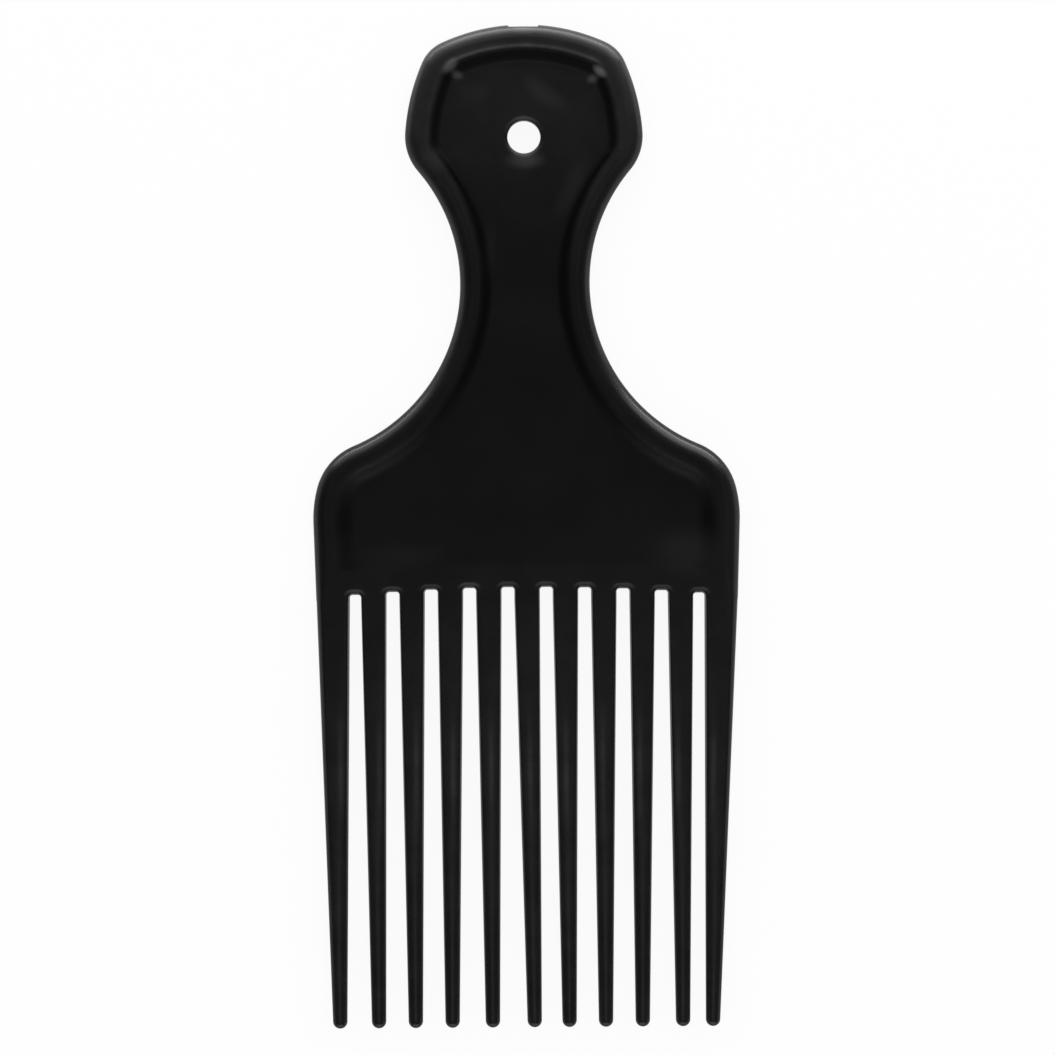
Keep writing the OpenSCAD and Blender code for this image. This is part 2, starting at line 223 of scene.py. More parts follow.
# Lamps: name, place, target, size and radiance
LAMPS = [
    ("key_wide", (30, 520, 400), (30, 0, 400), (1340, 800), 0.35),
    ("key_left", (-440, 530, 250), (-440, 0, 250), (400, 500), 0.9),
    ("key_right", (450, 540, 300), (450, 0, 300), (340, 600), 1.9),
    ("key_centre_middle", (25, 550, 225), (25, 0, 225), (530, 450), 0.65),
    ("key_centre_low", (25, 560, 145), (25, 0, 145), (530, 290), 1.9),
    ("key_foot", (10, 570, 62), (10, 0, 62), (1320, 124), 3.4),
    ("front_low", (0, -480, 175), (0, 0, 175), (560, 310), 0.9),
    ("strip_over_the_tips", (0, -190, 600), (0, 20, 0), (280, 60), 0.6),
    ("spot_over_the_teeth", (3, -65, 330), (3, -10, 0), (50, 40), 0.2),
]

# Painted light: the grey that a value of 1, which is that of the rim's land, adds at heights from the tips to
# the crown, lighter towards the crown and the tips
PAINTED_LIGHT_GREYS = [(-85, 0.005), (-60, 0.0055), (-35, 0.0036), (-12, 0.0026), (-3, 0.0018), (20, 0.0018),
              (42, 0.0015), (56, 0.0045), (70, 0.0078), (85, 0.0088)]

# Painted light of the wall from its lip to its foot, and of the panel's floor: a painted highlight at the
# lip, painted shade half way down the wall, and a floor darker than the rim's land
WALL_PAINTED_LIGHT = [1.3, 1.0, 0.5, 0.0, 0.0, 0.2, 0.4]
FLOOR_PAINTED_LIGHT = 0.5

# Painted shade on the wall, as the share of its sheen that is taken away at the crown, the head's sides, the
# neck and the body, and at the body's flanks, up to a distance from one height
WALL_PAINTED_SHADE = [0.5, 0.6, 1.0, 0.0]
FLANK_PAINTED_SHADE = 0.8
FLANK_SHADE_FROM_X = 30
FLANK_SHADE_Y = 1.5
FLANK_SHADE_REACH = 8

# Painted highlight that is added round one ring of the crown's lip, and the rings over which it fades
CROWN_LIP_HIGHLIGHT = 4.3
CROWN_LIP_RING = 2.3
CROWN_LIP_RINGS = 1.5

# Painted highlight: grey that is added round one ring of the rim's outer roll, the rings over which it fades,
# and the length over which it grows from the seams
RIM_HIGHLIGHT_GREY = 0.010
RIM_RING = 7
RIM_RINGS = 4.5
RIM_FADE = 12.0

# Painted highlights at the closed ends of the gaps, and above and below the hole on some rings of its lip
GAP_END_HIGHLIGHT = 9.0
HOLE_LIP_HIGHLIGHT = 4.0
HOLE_HIGHLIGHT_RINGS = 3

# Painted highlight that is added in a streak down each tooth: the streak's middle height, half length and
# half width, and how far it may lie from the tooth's middle, more on teeth further out
STREAK_HIGHLIGHT = 2.6
STREAK_Y = -41.0
STREAK_L = 13.0
STREAK_W = 0.7
STREAK_SHIFT = 1.7

# Camera: what its view spans at the height of the pick's middle plane, its distance, its place and its turn
VIEW_W = 179.0
VIEW_FROM = 600
VIEW_X = 0.148
VIEW_Y = -0.211
VIEW_TURN = -0.407
SENSOR_W = 36

# Steps of the meshes
EDGE_STEPS = 14
WALL_STEPS = 14
GATE_STEPS = 6
CROWN_STEPS = 28
HEAD_CORNER_STEPS = 16
HEAD_SIDE_STEPS = 30
HEAD_LOWER_STEPS = 16
NECK_STEPS = 60
SHOULDER_STEPS = 24
FLANK_STEPS = 8
DISH_SIDE_STEPS = 16
ROOT_SIDE_STEPS = 6
GAP_CORNER_STEPS = 8
HOLE_STEPS = 96
LIP_STEPS = 8
FACE_STEPS = 10
SHANK_STEPS = 48
TIP_STEPS = 12
FLOOR_GRID = 1.2
LAND_GRID = 0.8
SILL_STEPS = 48
SWELL_STEPS = 6

# Edges sharper than this angle stay sharp. Heights and points nearer than the two distances are the same.
SHARP_ANGLE = 50
SAME_HEIGHT = 1e-9
SAME_POINT = 1e-7


def mix(a, b, u):
    return a + (b - a) * u


def ease(u):
    u = min(max(u, 0), 1)
    return u * u * (3 - 2 * u)


def polar(centre, r, angle):
    a = math.radians(angle)
    return np.array([centre[0] + r * math.cos(a), centre[1] + r * math.sin(a)])


def heading(a, b):
    return math.degrees(math.atan2(b[1] - a[1], b[0] - a[0]))


def crossing(c1, r1, c2, r2, side):
    """Where two circles cross: side 1 is left of the way from the first centre to the second."""
    d = np.linalg.norm(c2 - c1)
    e = (c2 - c1) / d
    k = (r1 * r1 - r2 * r2 + d * d) / (2 * d)
    h = math.sqrt(r1 * r1 - k * k)
    return c1 + k * e + side * h * np.array([-e[1], e[0]])


def arc_points(centre, r, a, b, steps):
    return [polar(centre, r, mix(a, b, s / steps)) for s in range(1, steps + 1)]


GAP_Y = TIP_Y + GAP_L
DISH_END_Y = GAP_Y - ROOT_ARCH + DISH_MARGIN
NECK_Y = TOP_Y - NECK_DROP
HOLE_Y = TOP_Y - HOLE_DROP
WEB_HALF = HALF_T - PANEL_D
CROWN_C = np.array([0, TOP_Y - math.sqrt(CROWN_R ** 2 - GATE_W ** 2 / 4)])
SIDE_C = np.array([HEAD_W / 2 - HEAD_SIDE_R, TOP_Y - HEAD_WIDEST_DROP])
FLANK_C = np.array([BODY_W / 2 - FLANK_R, GAP_Y + BODY_WIDEST_RISE])
CORNER_AT = polar(FLANK_C, FLANK_R - SHOULDER_R, FLANK_SWEEP)
NECK_REACH = CORNER_AT[0] - NECK_W / 2
NECK_FALL = NECK_Y - CORNER_AT[1]
NECK_R = (NECK_REACH ** 2 + NECK_FALL ** 2 - SHOULDER_R ** 2) / (2 * (SHOULDER_R + NECK_REACH))
NECK_C = np.array([NECK_W / 2 + NECK_R, NECK_Y])
GATE_A = math.degrees(math.asin(GATE_W / 2 / CROWN_R))
GATE_IN_A = math.degrees(math.asin((GATE_W / 2 - GATE_RAMP) / CROWN_R))


def half_outline(insets):
    """Right half of the outline from the middle of the crown to the seam, as a chain of tangent arcs.
    insets draw it in at the crown, the head's sides, the neck, the body and the tooth roots."""
    top, head, neck_in, body, root = insets
    crown = CROWN_R - top
    side = HEAD_SIDE_R - head
    corner = max(HEAD_CORNER_R - (top + head) / 2, PANEL_CORNER_R)
    lower = max(HEAD_LOWER_R - (head + neck_in) / 2, PANEL_CORNER_R)
    shoulder = max(SHOULDER_R - body, PANEL_CORNER_R)
    flank = FLANK_R - body
    corner_c = crossing(CROWN_C, crown - corner, SIDE_C, side - corner, -1)
    lower_c = crossing(SIDE_C, side - lower, NECK_C, NECK_R + neck_in + lower, 1)
    shoulder_c = crossing(NECK_C, NECK_R + body + shoulder, FLANK_C, flank - shoulder, 1)
    corner_a = heading(CROWN_C, corner_c)
    side_a = heading(SIDE_C, corner_c)
    lower_a = heading(SIDE_C, lower_c)
    neck_a = heading(lower_c, NECK_C) + 180
    shoulder_a = heading(shoulder_c, NECK_C)
    flank_a = heading(FLANK_C, shoulder_c)

    gate = [polar(CROWN_C, crown, 90 - mix(0, GATE_IN_A, s / GATE_STEPS)) for s in range(GATE_STEPS + 1)]
    gate.append(polar(CROWN_C, crown, 90 - GATE_A))
    neck = []
    for s in range(1, NECK_STEPS + 1):
        u = s / NECK_STEPS
        r = NECK_R + mix(neck_in, body, ease(2 * u - 1))
        neck.append(polar(NECK_C, r, mix(neck_a, shoulder_a + 180, u)))
    start = polar(FLANK_C, flank, -SIDE_TAPER)
    sides = []
    for y in side_heights(start[1]):
        x = start[0] - (start[1] - y) * math.tan(math.radians(SIDE_TAPER))
        x += (body - root) * min(max((DISH_END_Y - y) / (DISH_END_Y - SEAM_Y), 0), 1)
        sides.append(np.array([x, y]))
    return (gate
            + arc_points(CROWN_C, crown, 90 - GATE_A, corner_a, CROWN_STEPS)
            + arc_points(corner_c, corner, corner_a, side_a, HEAD_CORNER_STEPS)
            + arc_points(SIDE_C, side, side_a, lower_a, HEAD_SIDE_STEPS)
            + arc_points(lower_c, lower, lower_a, neck_a - 180, HEAD_LOWER_STEPS)
            + neck
            + arc_points(shoulder_c, shoulder, shoulder_a, flank_a, SHOULDER_STEPS)
            + arc_points(FLANK_C, flank, flank_a, -SIDE_TAPER, FLANK_STEPS)
            + sides)


def zone_values(values):
    """A value for each point of half_outline, from those for crown, head's sides, neck and body."""
    crown, side, neck, body = values
    row = [crown] * (GATE_STEPS + 2 + CROWN_STEPS)
    row += [mix(crown, side, s / HEAD_CORNER_STEPS) for s in range(1, HEAD_CORNER_STEPS + 1)]
    row += [side] * HEAD_SIDE_STEPS
    row += [mix(side, neck, s / HEAD_LOWER_STEPS) for s in range(1, HEAD_LOWER_STEPS + 1)]
    row += [mix(neck, body, ease(2 * s / NECK_STEPS - 1)) for s in range(1, NECK_STEPS + 1)]
    return row + [body] * (SHOULDER_STEPS + FLANK_STEPS + DISH_SIDE_STEPS + ROOT_SIDE_STEPS)


def side_heights(start_y):
    """Heights of the points down the body's straight side, to the foot of the dish and on to the seam."""
    dish = [mix(start_y, DISH_END_Y, s / DISH_SIDE_STEPS) for s in range(1, DISH_SIDE_STEPS + 1)]
    root = [mix(DISH_END_Y, SEAM_Y, s / ROOT_SIDE_STEPS) for s in range(1, ROOT_SIDE_STEPS + 1)]
    return dish + root


OUTLINE = half_outline([0] * 5)
SEAM_PLACE = len(OUTLINE) - 1
DISH_PLACE = SEAM_PLACE - ROOT_SIDE_STEPS
SEAM_HALF_W = OUTLINE[SEAM_PLACE][0]
GAP_W = ((2 * SEAM_HALF_W - 2 * OUTER_ROOT_W - (TEETH - 2) * ROOT_W)
         / (TEETH - 3 + 2 * OUTER_GAP_SHARE))
PITCH = ROOT_W + GAP_W
TIP_PITCH = (TIP_SPAN - TIP_W) / (LAST - 2 + 2 * OUTER_TIP_SHARE)


def is_outer(i):
    return i in (0, LAST)


def root_left(i):
    if i == 0:
        return -SEAM_HALF_W
    if i == LAST:
        return SEAM_HALF_W - OUTER_ROOT_W
    return (i - LAST / 2) * PITCH - ROOT_W / 2


def root_right(i):
    return -root_left(LAST - i)


def rim_steps():
    """Steps round the rim from the parting line to the land: each one's share of the angle, of the height
    and of the inset."""
    sweep = math.radians(EDGE_SWEEP)
    steps = []
    for k in range(EDGE_STEPS + 1):
        a = sweep * k / EDGE_STEPS
        rise = math.sin(a) / math.sin(sweep)
        steps.append((k / EDGE_STEPS, rise, (1 - math.cos(a)) / (1 - math.cos(sweep))))
    return steps


RIM_STEPS = rim_steps()


def side_inset(rise, half_h):
    """How far a tooth's side lies inside its parting line at a share of its height: a straight draft that
    turns into the face with a small radius."""
    r = FACE_CORNER_R
    start = 1 - r / half_h
    inset = DRAFT_W * rise
    if rise > start:
        up = min((rise - start) / (1 - start), 1)
        inset += r * (1 - math.sqrt(max(1 - up * up, 0)))
    return inset


def gap_outline(g, rise, rounding, beyond=0):
    """One gap's outline at a height: up its right side, round its closed end and down its left side, each
    point with its share of the closed end's shoulder. beyond widens it all round."""
    left = root_right(g)
    right = root_left(g + 1)
    place = (left + right) / (root_left(LAST) + root_right(LAST - 1))
    end_y = GAP_Y - ROOT_ARCH * place * place
    r = min(GAP_CORNER_R, (right - left) / 2 - GAP_CORNER_R / 2)
    draft = side_inset(rise, HALF_T) + beyond
    lip = GAP_LIP_W * rounding + beyond
    corner = []
    for s in range(GAP_CORNER_STEPS + 1):
        a = math.pi / 2 * s / GAP_CORNER_STEPS
        corner.append(((r + draft) * math.cos(a), end_y - r + (r + lip) * math.sin(a), math.sin(a)))
    points = [(right + draft, SEAM_Y, 0)]
    points += [(right - r + x, y, share) for x, y, share in corner]
    points += [(left + r - x, y, share) for x, y, share in reversed(corner)]
    points.append((left - draft, SEAM_Y, 0))
    return points


def contour(rise, rounding, beyond=0.0, gap_beyond=0.0):
    """The whole contour at a share of the rim's height, clockwise from the middle of the crown, each point
    with the depth of the shoulder there. beyond draws the rim in further, gap_beyond widens the gaps."""
    insets = np.array([EDGE_W, EDGE_W, EDGE_W, BODY_EDGE_W, OUTER_EDGE_W]) * rounding + beyond
    half = half_outline(insets)
    half = [(x, min(y, TOP_Y - GATE_D)) if abs(x) < GATE_W / 2 - GATE_RAMP / 2 else (x, y) for x, y in half]
    half = [(x, y, SHOULDER_H) for x, y in half]
    gaps = [(x, y, mix(SHOULDER_H, GAP_SHOULDER_H, share)) for g in range(LAST - 1, -1, -1)
            for x, y, share in gap_outline(g, rise, rounding, gap_beyond)]
    return half + gaps + [(-x, y, drop) for x, y, drop in reversed(half[1:])]


def depth(y):
    """Depth of the panel and the dish below the rim's land."""
    share = ease((y - NECK_Y + FADE_L) / FADE_L)
    return mix(DISH_D, PANEL_D, share) * ease((y - DISH_END_Y) / DISH_RAMP)


def wall_fall(u, lip, foot):
    """Share of the panel's depth at a place across its wall, between a rounded lip and a rounded foot."""
    slope = 1 / (1 - lip / 2 - foot / 2)
    if u < lip:
        return slope * u * u / (2 * lip)
    if u < 1 - foot:
        return slope * (u - lip / 2)
    return 1 - slope * (1 - u) ** 2 / (2 * foot)


def wall_ring(j):
    """One ring of the panel's wall, from the left foot of the dish over the crown to the right foot."""
    u = j / WALL_STEPS
    half = half_outline([LIP_TOP + WALL_TOP * u, LIP_SIDE + WALL_SIDE * u, LIP_NECK + WALL_NECK * u,
                         LIP_BODY + WALL_BODY * u, LIP_BODY + WALL_BODY * u])[:DISH_PLACE + 1]
    lips = zone_values(LIP_SHARES)
    feet = zone_values(FOOT_SHARES)
    half = [(x, y, HALF_T - depth(y) * wall_fall(u, lip, foot))
            for (x, y), lip, foot in zip(half, lips, feet)]
    return [(-x, y, z) for x, y, z in reversed(half[1:])] + half


def floor_height(x, y):
    """Height of the panel's floor above the middle plane, with the swelling round the hole."""
    r = math.hypot(x, y - HOLE_Y)
    start = HOLE_D / 2 + HOLE_LIP_R
    return HALF_T - depth(y) + SWELL_H * (1 - ease((r - start) / SWELL_W))


def inside(points, polygon):
    """Which points lie inside a polygon, and how far each is from its nearest corner."""
    polygon = np.array(polygon)
    x, y = points[:, 0:1], points[:, 1:2]
    a, b = polygon, np.roll(polygon, -1, axis=0)
    crosses = (a[:, 1] > y) != (b[:, 1] > y)
    rise = np.where(b[:, 1] == a[:, 1], 1, b[:, 1] - a[:, 1])
    at = a[:, 0] + (y - a[:, 1]) / rise * (b[:, 0] - a[:, 0])
    within = (crosses & (x < at)).sum(axis=1) % 2 == 1
    nearest = np.hypot(x - a[:, 0], y - a[:, 1]).min(axis=1)
    return within, nearest


class Shell:
    """The points and faces of a mesh while it is put together."""

    def __init__(self):
        self.points = []
        # Painted light and painted shade of each point, which the material turns into grey and lost sheen
        self.painted_light = []
        self.painted_shade = []
        self.faces = []

    def add(self, points, painted_light=1.0, painted_shade=0.0):
        """Adds points and returns their places. Their painted light and painted shade are one number for all
        of them or a list.
        """
        start = len(self.points)
        self.points += [tuple(float(v) for v in p) for p in points]
        count = len(self.points) - start
        self.painted_light += painted_light if isinstance(painted_light, list) else [painted_light] * count
        self.painted_shade += painted_shade if isinstance(painted_shade, list) else [painted_shade] * count
        return list(range(start, len(self.points)))

    def strip(self, low, high, closed=False):
        """Quads between two rows of as many points."""
        count = len(low) if closed else len(low) - 1
        for i in range(count):
            n = (i + 1) % len(low)
            self.faces.append((low[i], low[n], high[n], high[i]))

    def fill(self, outline, holes=(), inner=()):
        """Triangles inside an outline of points that are there already, round holes, through inner points."""
        ids = list(outline)
        edges = [(i, (i + 1) % len(outline)) for i in range(len(outline))]
        for hole in holes:
            start = len(ids)
            ids += hole
            edges += [(start + i, start + (i + 1) % len(hole)) for i in range(len(hole))]
        ids += inner
        flat = [Vector(self.points[i][:2]) for i in ids]
        found = delaunay_2d_cdt(flat, edges, [], 1, SAME_POINT)
        if len(found[0]) != len(flat):
            raise ValueError("an outline crosses itself")
        back = [ids[olds[0]] for olds in found[3]]
        hole_shapes = [[self.points[i][:2] for i in hole] for hole in holes]
        for face in found[2]:
            tri = [back[i] for i in face]
            middle = np.mean([self.points[i][:2] for i in tri], axis=0)[None]
            if not any(inside(middle, shape)[0][0] for shape in hole_shapes):
                self.faces.append(tuple(tri))

    def mirror_down(self):
        """Adds the mirror image of everything below the middle plane, sharing the points that lie on it."""
        there = {}
        for i, (x, y, z) in enumerate(list(self.points)):
            if abs(z) < SAME_HEIGHT:
                there[i] = i
            else:
                there[i] = self.add([(x, y, -z)], self.painted_light[i], self.painted_shade[i])[0]
        self.faces += [tuple(there[i] for i in reversed(face)) for face in list(self.faces)]

    def build(self, name):
        """Makes the object, with its back face on the floor."""
        mesh = bpy.data.meshes.new(name)
        points = [(x * MM, y * MM, (z + HALF_T) * MM) for x, y, z in self.points]
        mesh.from_pydata(points, [], self.faces)
        bm = bmesh.new()
        bm.from_mesh(mesh)
        bmesh.ops.recalc_face_normals(bm, faces=bm.faces)
        bm.to_mesh(mesh)
        bm.free()
        # The painted light and painted shade go to the material as point attributes
        for layer, values in (("painted_light", self.painted_light), ("painted_shade", self.painted_shade)):
            mesh.attributes.new(layer, "FLOAT", "POINT").data.foreach_set("value", values)
        mesh.shade_smooth()
        mesh.set_sharp_from_angle(angle=math.radians(SHARP_ANGLE))
        piece = bpy.data.objects.new(name, mesh)
        bpy.context.scene.collection.objects.link(piece)
        weighted = piece.modifiers.new("face_weighted_normals", "WEIGHTED_NORMAL")
        weighted.keep_sharp = True
        return piece


def land_support():
    """The row of points on the rim's land just outside the lip of the panel."""
    half = half_outline([LIP_TOP - SUPPORT_W, LIP_SIDE - SUPPORT_W, LIP_NECK - SUPPORT_W,
                         LIP_BODY - SUPPORT_W, LIP_BODY - SUPPORT_W])[:DISH_PLACE + 1]
    return [(-x, y, HALF_T) for x, y in reversed(half[1:])] + [(x, y, HALF_T) for x, y in half]


def rim_painted_light(k, row):
    """Painted light of the points of the rim's ring k: a painted highlight most a little inside the outline,
    and 1 in the gaps.
    """
    share = max(1 - abs(k - RIM_RING) / RIM_RINGS, 0)
    heights, greys = zip(*PAINTED_LIGHT_GREYS)
    painted_light = []
    for x, y, drop in row:
        full = RIM_HIGHLIGHT_GREY / np.interp(y, heights, greys)
        painted_light.append(1 + share * full * ease((y - SEAM_Y) / RIM_FADE))
    gaps = len(row) - 2 * SEAM_PLACE - 1
    return painted_light[:SEAM_PLACE + 1] + [1.0] * gaps + painted_light[SEAM_PLACE + 1 + gaps:]


def lip_painted_light(painted_light, share):
    """Painted light of the points of one ring of the wall, with a share of the painted highlight that the
    crown's lip has more.
    """
    more = max(share, 0) * CROWN_LIP_HIGHLIGHT
    half = [painted_light + more * crown for crown in zone_values([1, 0, 0, 0])[:DISH_PLACE + 1]]
    return half[:0:-1] + half


def gap_painted_light(u, drop):
    """Painted light of a point across the shoulder, with a painted highlight most half way across it and at
    the gaps' closed ends.
    """
    across = 4 * u * (1 - u)
    at_end = (drop - SHOULDER_H) / (GAP_SHOULDER_H - SHOULDER_H)
    return 1 + GAP_END_HIGHLIGHT * across * at_end ** 2


def wall_painted_shade(j):
    """Painted shade of the points of the wall's ring j, as a share of sheen taken away, most half way down
    it.
    """
    share = 1 - abs(2 * j / WALL_STEPS - 1) ** 3
    half = []
    for (x, y), zone in zip(OUTLINE[:DISH_PLACE + 1], zone_values(WALL_PAINTED_SHADE)):
        flank = 0
        if x > FLANK_SHADE_FROM_X:
            flank = FLANK_PAINTED_SHADE * (1 - ease(abs(y - FLANK_SHADE_Y) / FLANK_SHADE_REACH))
        half.append(share * max(zone, flank))
    return half[:0:-1] + half


def grid_inside(shape, spacing, clear):
    """Points of a square grid inside a shape, above its lowest edge and clear of its corners."""
    low, high = np.min(shape, axis=0), np.max(shape, axis=0)
    grid = np.array([(x, y) for x in np.arange(low[0], high[0], spacing)
                     for y in np.arange(low[1] + spacing, high[1], spacing)])
    within, nearest = inside(grid, shape)
    return grid[within & (nearest > clear)]


def make_handle():
    """Head, neck and body down to the seams, skinned from contour to contour, with front and back alike."""
    shell = Shell()
    ridge = PARTING_W / HALF_T
    ridge_a = math.asin(ridge * math.sin(math.radians(EDGE_SWEEP)))
    ridge_rounding = (1 - math.cos(ridge_a)) / (1 - math.cos(math.radians(EDGE_SWEEP)))
    levels = [(0, 0, -PARTING_H, 0), (ridge, ridge_rounding, 0, 0)]
    levels += [(rise, rounding, 0, 0) for place, rise, rounding in RIM_STEPS[1:]]
    rings = []
    for k, level in enumerate(levels):
        row = contour(*level)
        # The rim's rings get a painted highlight on its outer roll
        rings.append(shell.add([(x, y, (HALF_T - drop) * level[0]) for x, y, drop in row], rim_painted_light(k, row)))
    for s in range(1, SHOULDER_ROWS + 1):
        u = s / SHOULDER_ROWS
        row = contour(1, 1, SHOULDER_W * u, GAP_SHOULDER_W * u)
        # The shoulder rows get painted highlights at the gaps' closed ends
        painted_light = [gap_painted_light(u, drop) for x, y, drop in row]
        rings.append(shell.add([(x, y, HALF_T - drop * (1 - u) ** 2) for x, y, drop in row], painted_light))
    for low, high in zip(rings, rings[1:]):
        shell.strip(low, high, closed=True)

    edge = rings[-1]
    around = len(edge)
    edge_row = [edge[(c - DISH_PLACE) % around] for c in range(2 * DISH_PLACE + 1)]
    rows = [edge_row, shell.add(land_support())]
    for j in range(WALL_STEPS + 1):
        # The wall's rings get painted light and painted shade, with a painted highlight on the crown's lip
        painted_light = WALL_PAINTED_LIGHT[round(j / WALL_STEPS * (len(WALL_PAINTED_LIGHT) - 1))]
        lip_share = 1 - abs(j - CROWN_LIP_RING) / CROWN_LIP_RINGS
        rows.append(shell.add(wall_ring(j), lip_painted_light(painted_light, lip_share), wall_painted_shade(j)))
    for low, high in zip(rows, rows[1:]):
        shell.strip(low, high)

    floor = rows[-1]
    start, end = (shell.points[floor[i]] for i in (-1, 0))
    sill = shell.add([(mix(start[0], end[0], s / SILL_STEPS), start[1], HALF_T)
                      for s in range(1, SILL_STEPS)])
    floor = floor + sill
    shape = [shell.points[i][:2] for i in floor]
    mouths = make_hole(shell)
    grid = grid_inside(shape, FLOOR_GRID, FLOOR_GRID / 2)
    swell_r = HOLE_D / 2 + HOLE_LIP_R + SWELL_W + FLOOR_GRID / 2
    kept = grid[np.hypot(grid[:, 0], grid[:, 1] - HOLE_Y) > swell_r]
    # The floor's inner points get a darker painted light than the rim's land
    inner = shell.add([(x, y, floor_height(x, y)) for x, y in kept], FLOOR_PAINTED_LIGHT)
    for ring in mouths[1:]:
        inner += ring
    shell.fill(floor, [mouths[0]], inner)

    ends = [row[0] for row in rows] + sill[::-1] + [row[-1] for row in rows[::-1]]
    right = edge[DISH_PLACE + 1:SEAM_PLACE + 1]
    gaps = edge[SEAM_PLACE + 1:around - SEAM_PLACE]
    left = edge[around - SEAM_PLACE:around - DISH_PLACE]
    land = ends + right + gaps + left
    grid = grid_inside([shell.points[i][:2] for i in land], LAND_GRID, LAND_GRID / 2)
    shell.fill(land, inner=shell.add([(x, y, HALF_T) for x, y in grid]))
    shell.mirror_down()
    return shell.build("handle_moulding")


def make_hole(shell):
    """The hole's wall down to the middle plane. Returns the rings of the floor round its mouth."""
    r = HOLE_D / 2
    top = WEB_HALF + SWELL_H
    profile = []
    for s in range(LIP_STEPS + 1):
        a = math.pi / 2 * s / LIP_STEPS
        profile.append((r + HOLE_LIP_R * (1 - math.sin(a)), top - HOLE_LIP_R * (1 - math.cos(a))))
    profile += [(r, (top - HOLE_LIP_R) / 2), (r, 0)]

    def circle(radius, height, painted_lighting=0.0):
        points, painted_light = [], []
        for s in range(HOLE_STEPS):
            a = 2 * math.pi * s / HOLE_STEPS
            x, y = radius * math.cos(a), HOLE_Y + radius * math.sin(a)
            points.append((x, y, floor_height(x, y) if height is None else height))
            painted_light.append(FLOOR_PAINTED_LIGHT + painted_lighting * math.sin(a) ** 2)
        return shell.add(points, painted_light)

    # The first rings of the hole's lip get a painted highlight above and below the hole
    rings = [circle(radius, height, HOLE_LIP_HIGHLIGHT if s < HOLE_HIGHLIGHT_RINGS else 0.0)
             for s, (radius, height) in enumerate(profile)]
    for low, high in zip(rings, rings[1:]):
        shell.strip(low, high, closed=True)
    outer = [circle(r + HOLE_LIP_R + SWELL_W * s / SWELL_STEPS, None) for s in range(1, SWELL_STEPS + 1)]
    return [rings[0]] + outer


def tooth_section(i, left, right, half_h, y, oval):
    """A tooth's section between two sides, flat-faced at the root and turning oval towards the tip."""
    w = right - left

    def side(outer, k):
        place, rise, rounding = RIM_STEPS[k]
        if outer:
            return OUTER_EDGE_W * rounding * w / OUTER_ROOT_W
        return side_inset(rise, HALF_T) * w / ROOT_W

    over = []
    for k in range(EDGE_STEPS + 1):
        over.append((right - side(i == LAST, k), half_h * RIM_STEPS[k][1], FACE_ANGLE * RIM_STEPS[k][0]))
    face_right, face_left = over[-1][0], left + side(i == 0, EDGE_STEPS)
    for s in range(1, FACE_STEPS):
        u = s / FACE_STEPS
        over.append((mix(face_right, face_left, u), half_h, mix(FACE_ANGLE, 180 - FACE_ANGLE, u)))
    for k in range(EDGE_STEPS, -1, -1):
        angle = 180 - FACE_ANGLE * RIM_STEPS[k][0]
        over.append((left + side(i == 0, k), half_h * RIM_STEPS[k][1], angle))

    upper = []
    for x, z, angle in over:
        a = math.radians(angle)
        round_x = (left + right) / 2 + w / 2 * math.cos(a)
        upper.append((mix(x, round_x, oval), y, mix(z, half_h * math.sin(a), oval)))
    return upper + [(x, y, -z) for x, y, z in reversed(upper[1:-1])]


def streak_painted_light(section, shift):
    """Painted light of the points of a tooth's section, with a painted highlight in a streak that is shifted
    from the middle of its face.
    """
    xs = [x for x, y, z in section]
    middle = (min(xs) + max(xs)) / 2 + shift
    along = 1 - ease(abs(section[0][1] - STREAK_Y) / STREAK_L)
    return [1 + STREAK_HIGHLIGHT * along * (1 - ease(abs(x - middle) / STREAK_W)) for x in xs]


def make_tooth(i):
    """One tooth from the seam to its round tip."""
    start_y = TIP_Y + TIP_W / 2
    middle = LEAN_SHARES[i] * TIP_PITCH
    if is_outer(i):
        middle += math.copysign(TIP_SPAN - TIP_W, i - LAST / 2) / 2
    else:
        middle += (i - LAST / 2) * TIP_PITCH
    shell = Shell()
    rings = []
    for s in range(SHANK_STEPS + 1):
        u = s / SHANK_STEPS
        section = tooth_section(
            i, mix(root_left(i), middle - TIP_W / 2, u), mix(root_right(i), middle + TIP_W / 2, u),
            mix(HALF_T, TIP_T / 2, u), mix(SEAM_Y, start_y, u), ease(u))
        # Each section gets a painted highlight streak down the tooth
        rings.append(shell.add(section, streak_painted_light(section, STREAK_SHIFT * (LAST / 2 - i) / LAST)))
    for s in range(1, TIP_STEPS):
        a = math.pi / 2 * s / TIP_STEPS
        reach = TIP_W / 2 * math.cos(a)
        rings.append(shell.add(tooth_section(
            i, middle - reach, middle + reach, TIP_T / 2 * math.cos(a),
            start_y - TIP_W / 2 * math.sin(a), 1)))
    for low, high in zip(rings, rings[1:]):
        shell.strip(low, high, closed=True)
    end = shell.add([(middle, TIP_Y, 0)])[0]
    tip = rings[-1]
    shell.faces += [(tip[j], tip[(j + 1) % len(tip)], end) for j in range(len(tip))]
    shell.faces.append(tuple(rings[0]))
    return shell.build(f"tooth_{i + 1:02d}_moulding")


